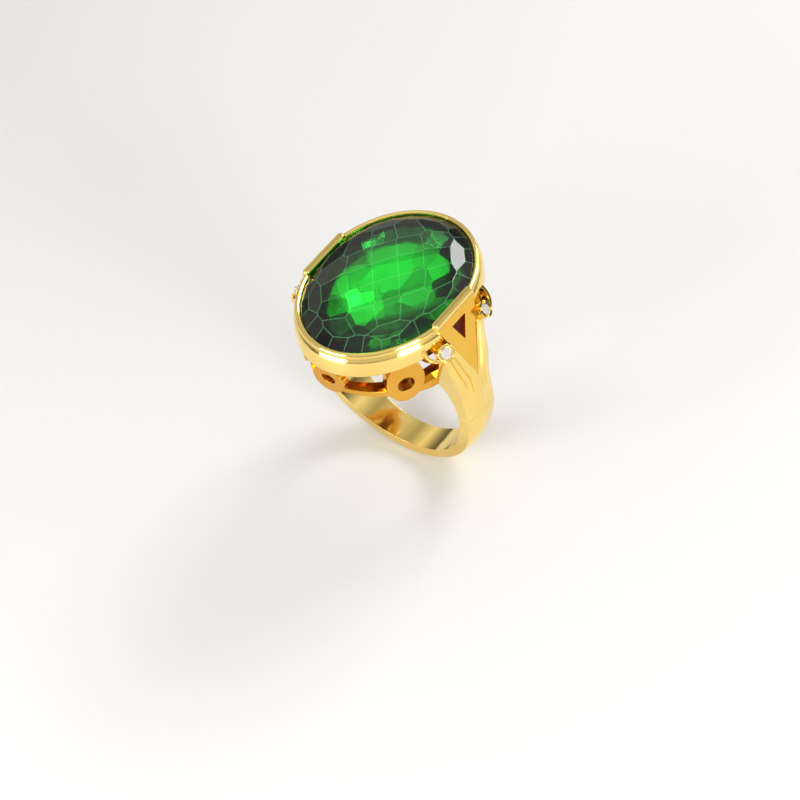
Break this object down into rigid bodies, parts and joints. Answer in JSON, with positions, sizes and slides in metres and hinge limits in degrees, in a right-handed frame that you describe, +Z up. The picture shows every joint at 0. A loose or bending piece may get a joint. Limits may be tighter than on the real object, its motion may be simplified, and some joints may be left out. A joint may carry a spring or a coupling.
{
  "type": "cocktail ring",
  "caption": "Cocktail ring with a large oval checkerboard-cut green stone in a plain bezel, open scroll gallery, pierced shoulder plates and small white accent stones.",
  "frame": {"origin": "centre of the finger hole, half way through the hoop's width", "axes": "+Y along the finger, +Z up to the middle of the stone, +X across the hand towards the right shoulder"},
  "size_m": [0.0206, 0.0228, 0.026],
  "materials": {
    "gold": "polished yellow gold",
    "green_stone": "polished faceted green stone",
    "white_stone": "polished faceted clear stone"
  },
  "bodies": {
    "root": {"accent_stone_back_left": "white_stone", "accent_stone_back_right": "white_stone", "accent_stone_front_left": "white_stone", "accent_stone_front_right": "white_stone", "arm_back_left": "gold", "arm_back_right": "gold", "arm_front_left": "gold", "arm_front_right": "gold", "bar_left": "gold", "bar_right": "gold", "bezel": "gold", "centre_stone": "green_stone", "collet_back_left": "gold", "collet_back_right": "gold", "collet_front_left": "gold", "collet_front_right": "gold", "gallery_rail": "gold", "grains_back_left": "gold", "grains_back_right": "gold", "grains_front_left": "gold", "grains_front_right": "gold", "hoop": "gold", "plate_left": "gold", "plate_right": "gold", "scroll_back": "gold", "scroll_back_left": "gold", "scroll_back_right": "gold", "scroll_cup_back_left": "gold", "scroll_cup_back_right": "gold", "scroll_cup_front_left": "gold", "scroll_cup_front_right": "gold", "scroll_front": "gold", "scroll_front_left": "gold", "scroll_front_right": "gold", "stone_seat": "gold", "window_floor_left": "gold", "window_floor_right": "gold"}
  },
  "joints": []
}
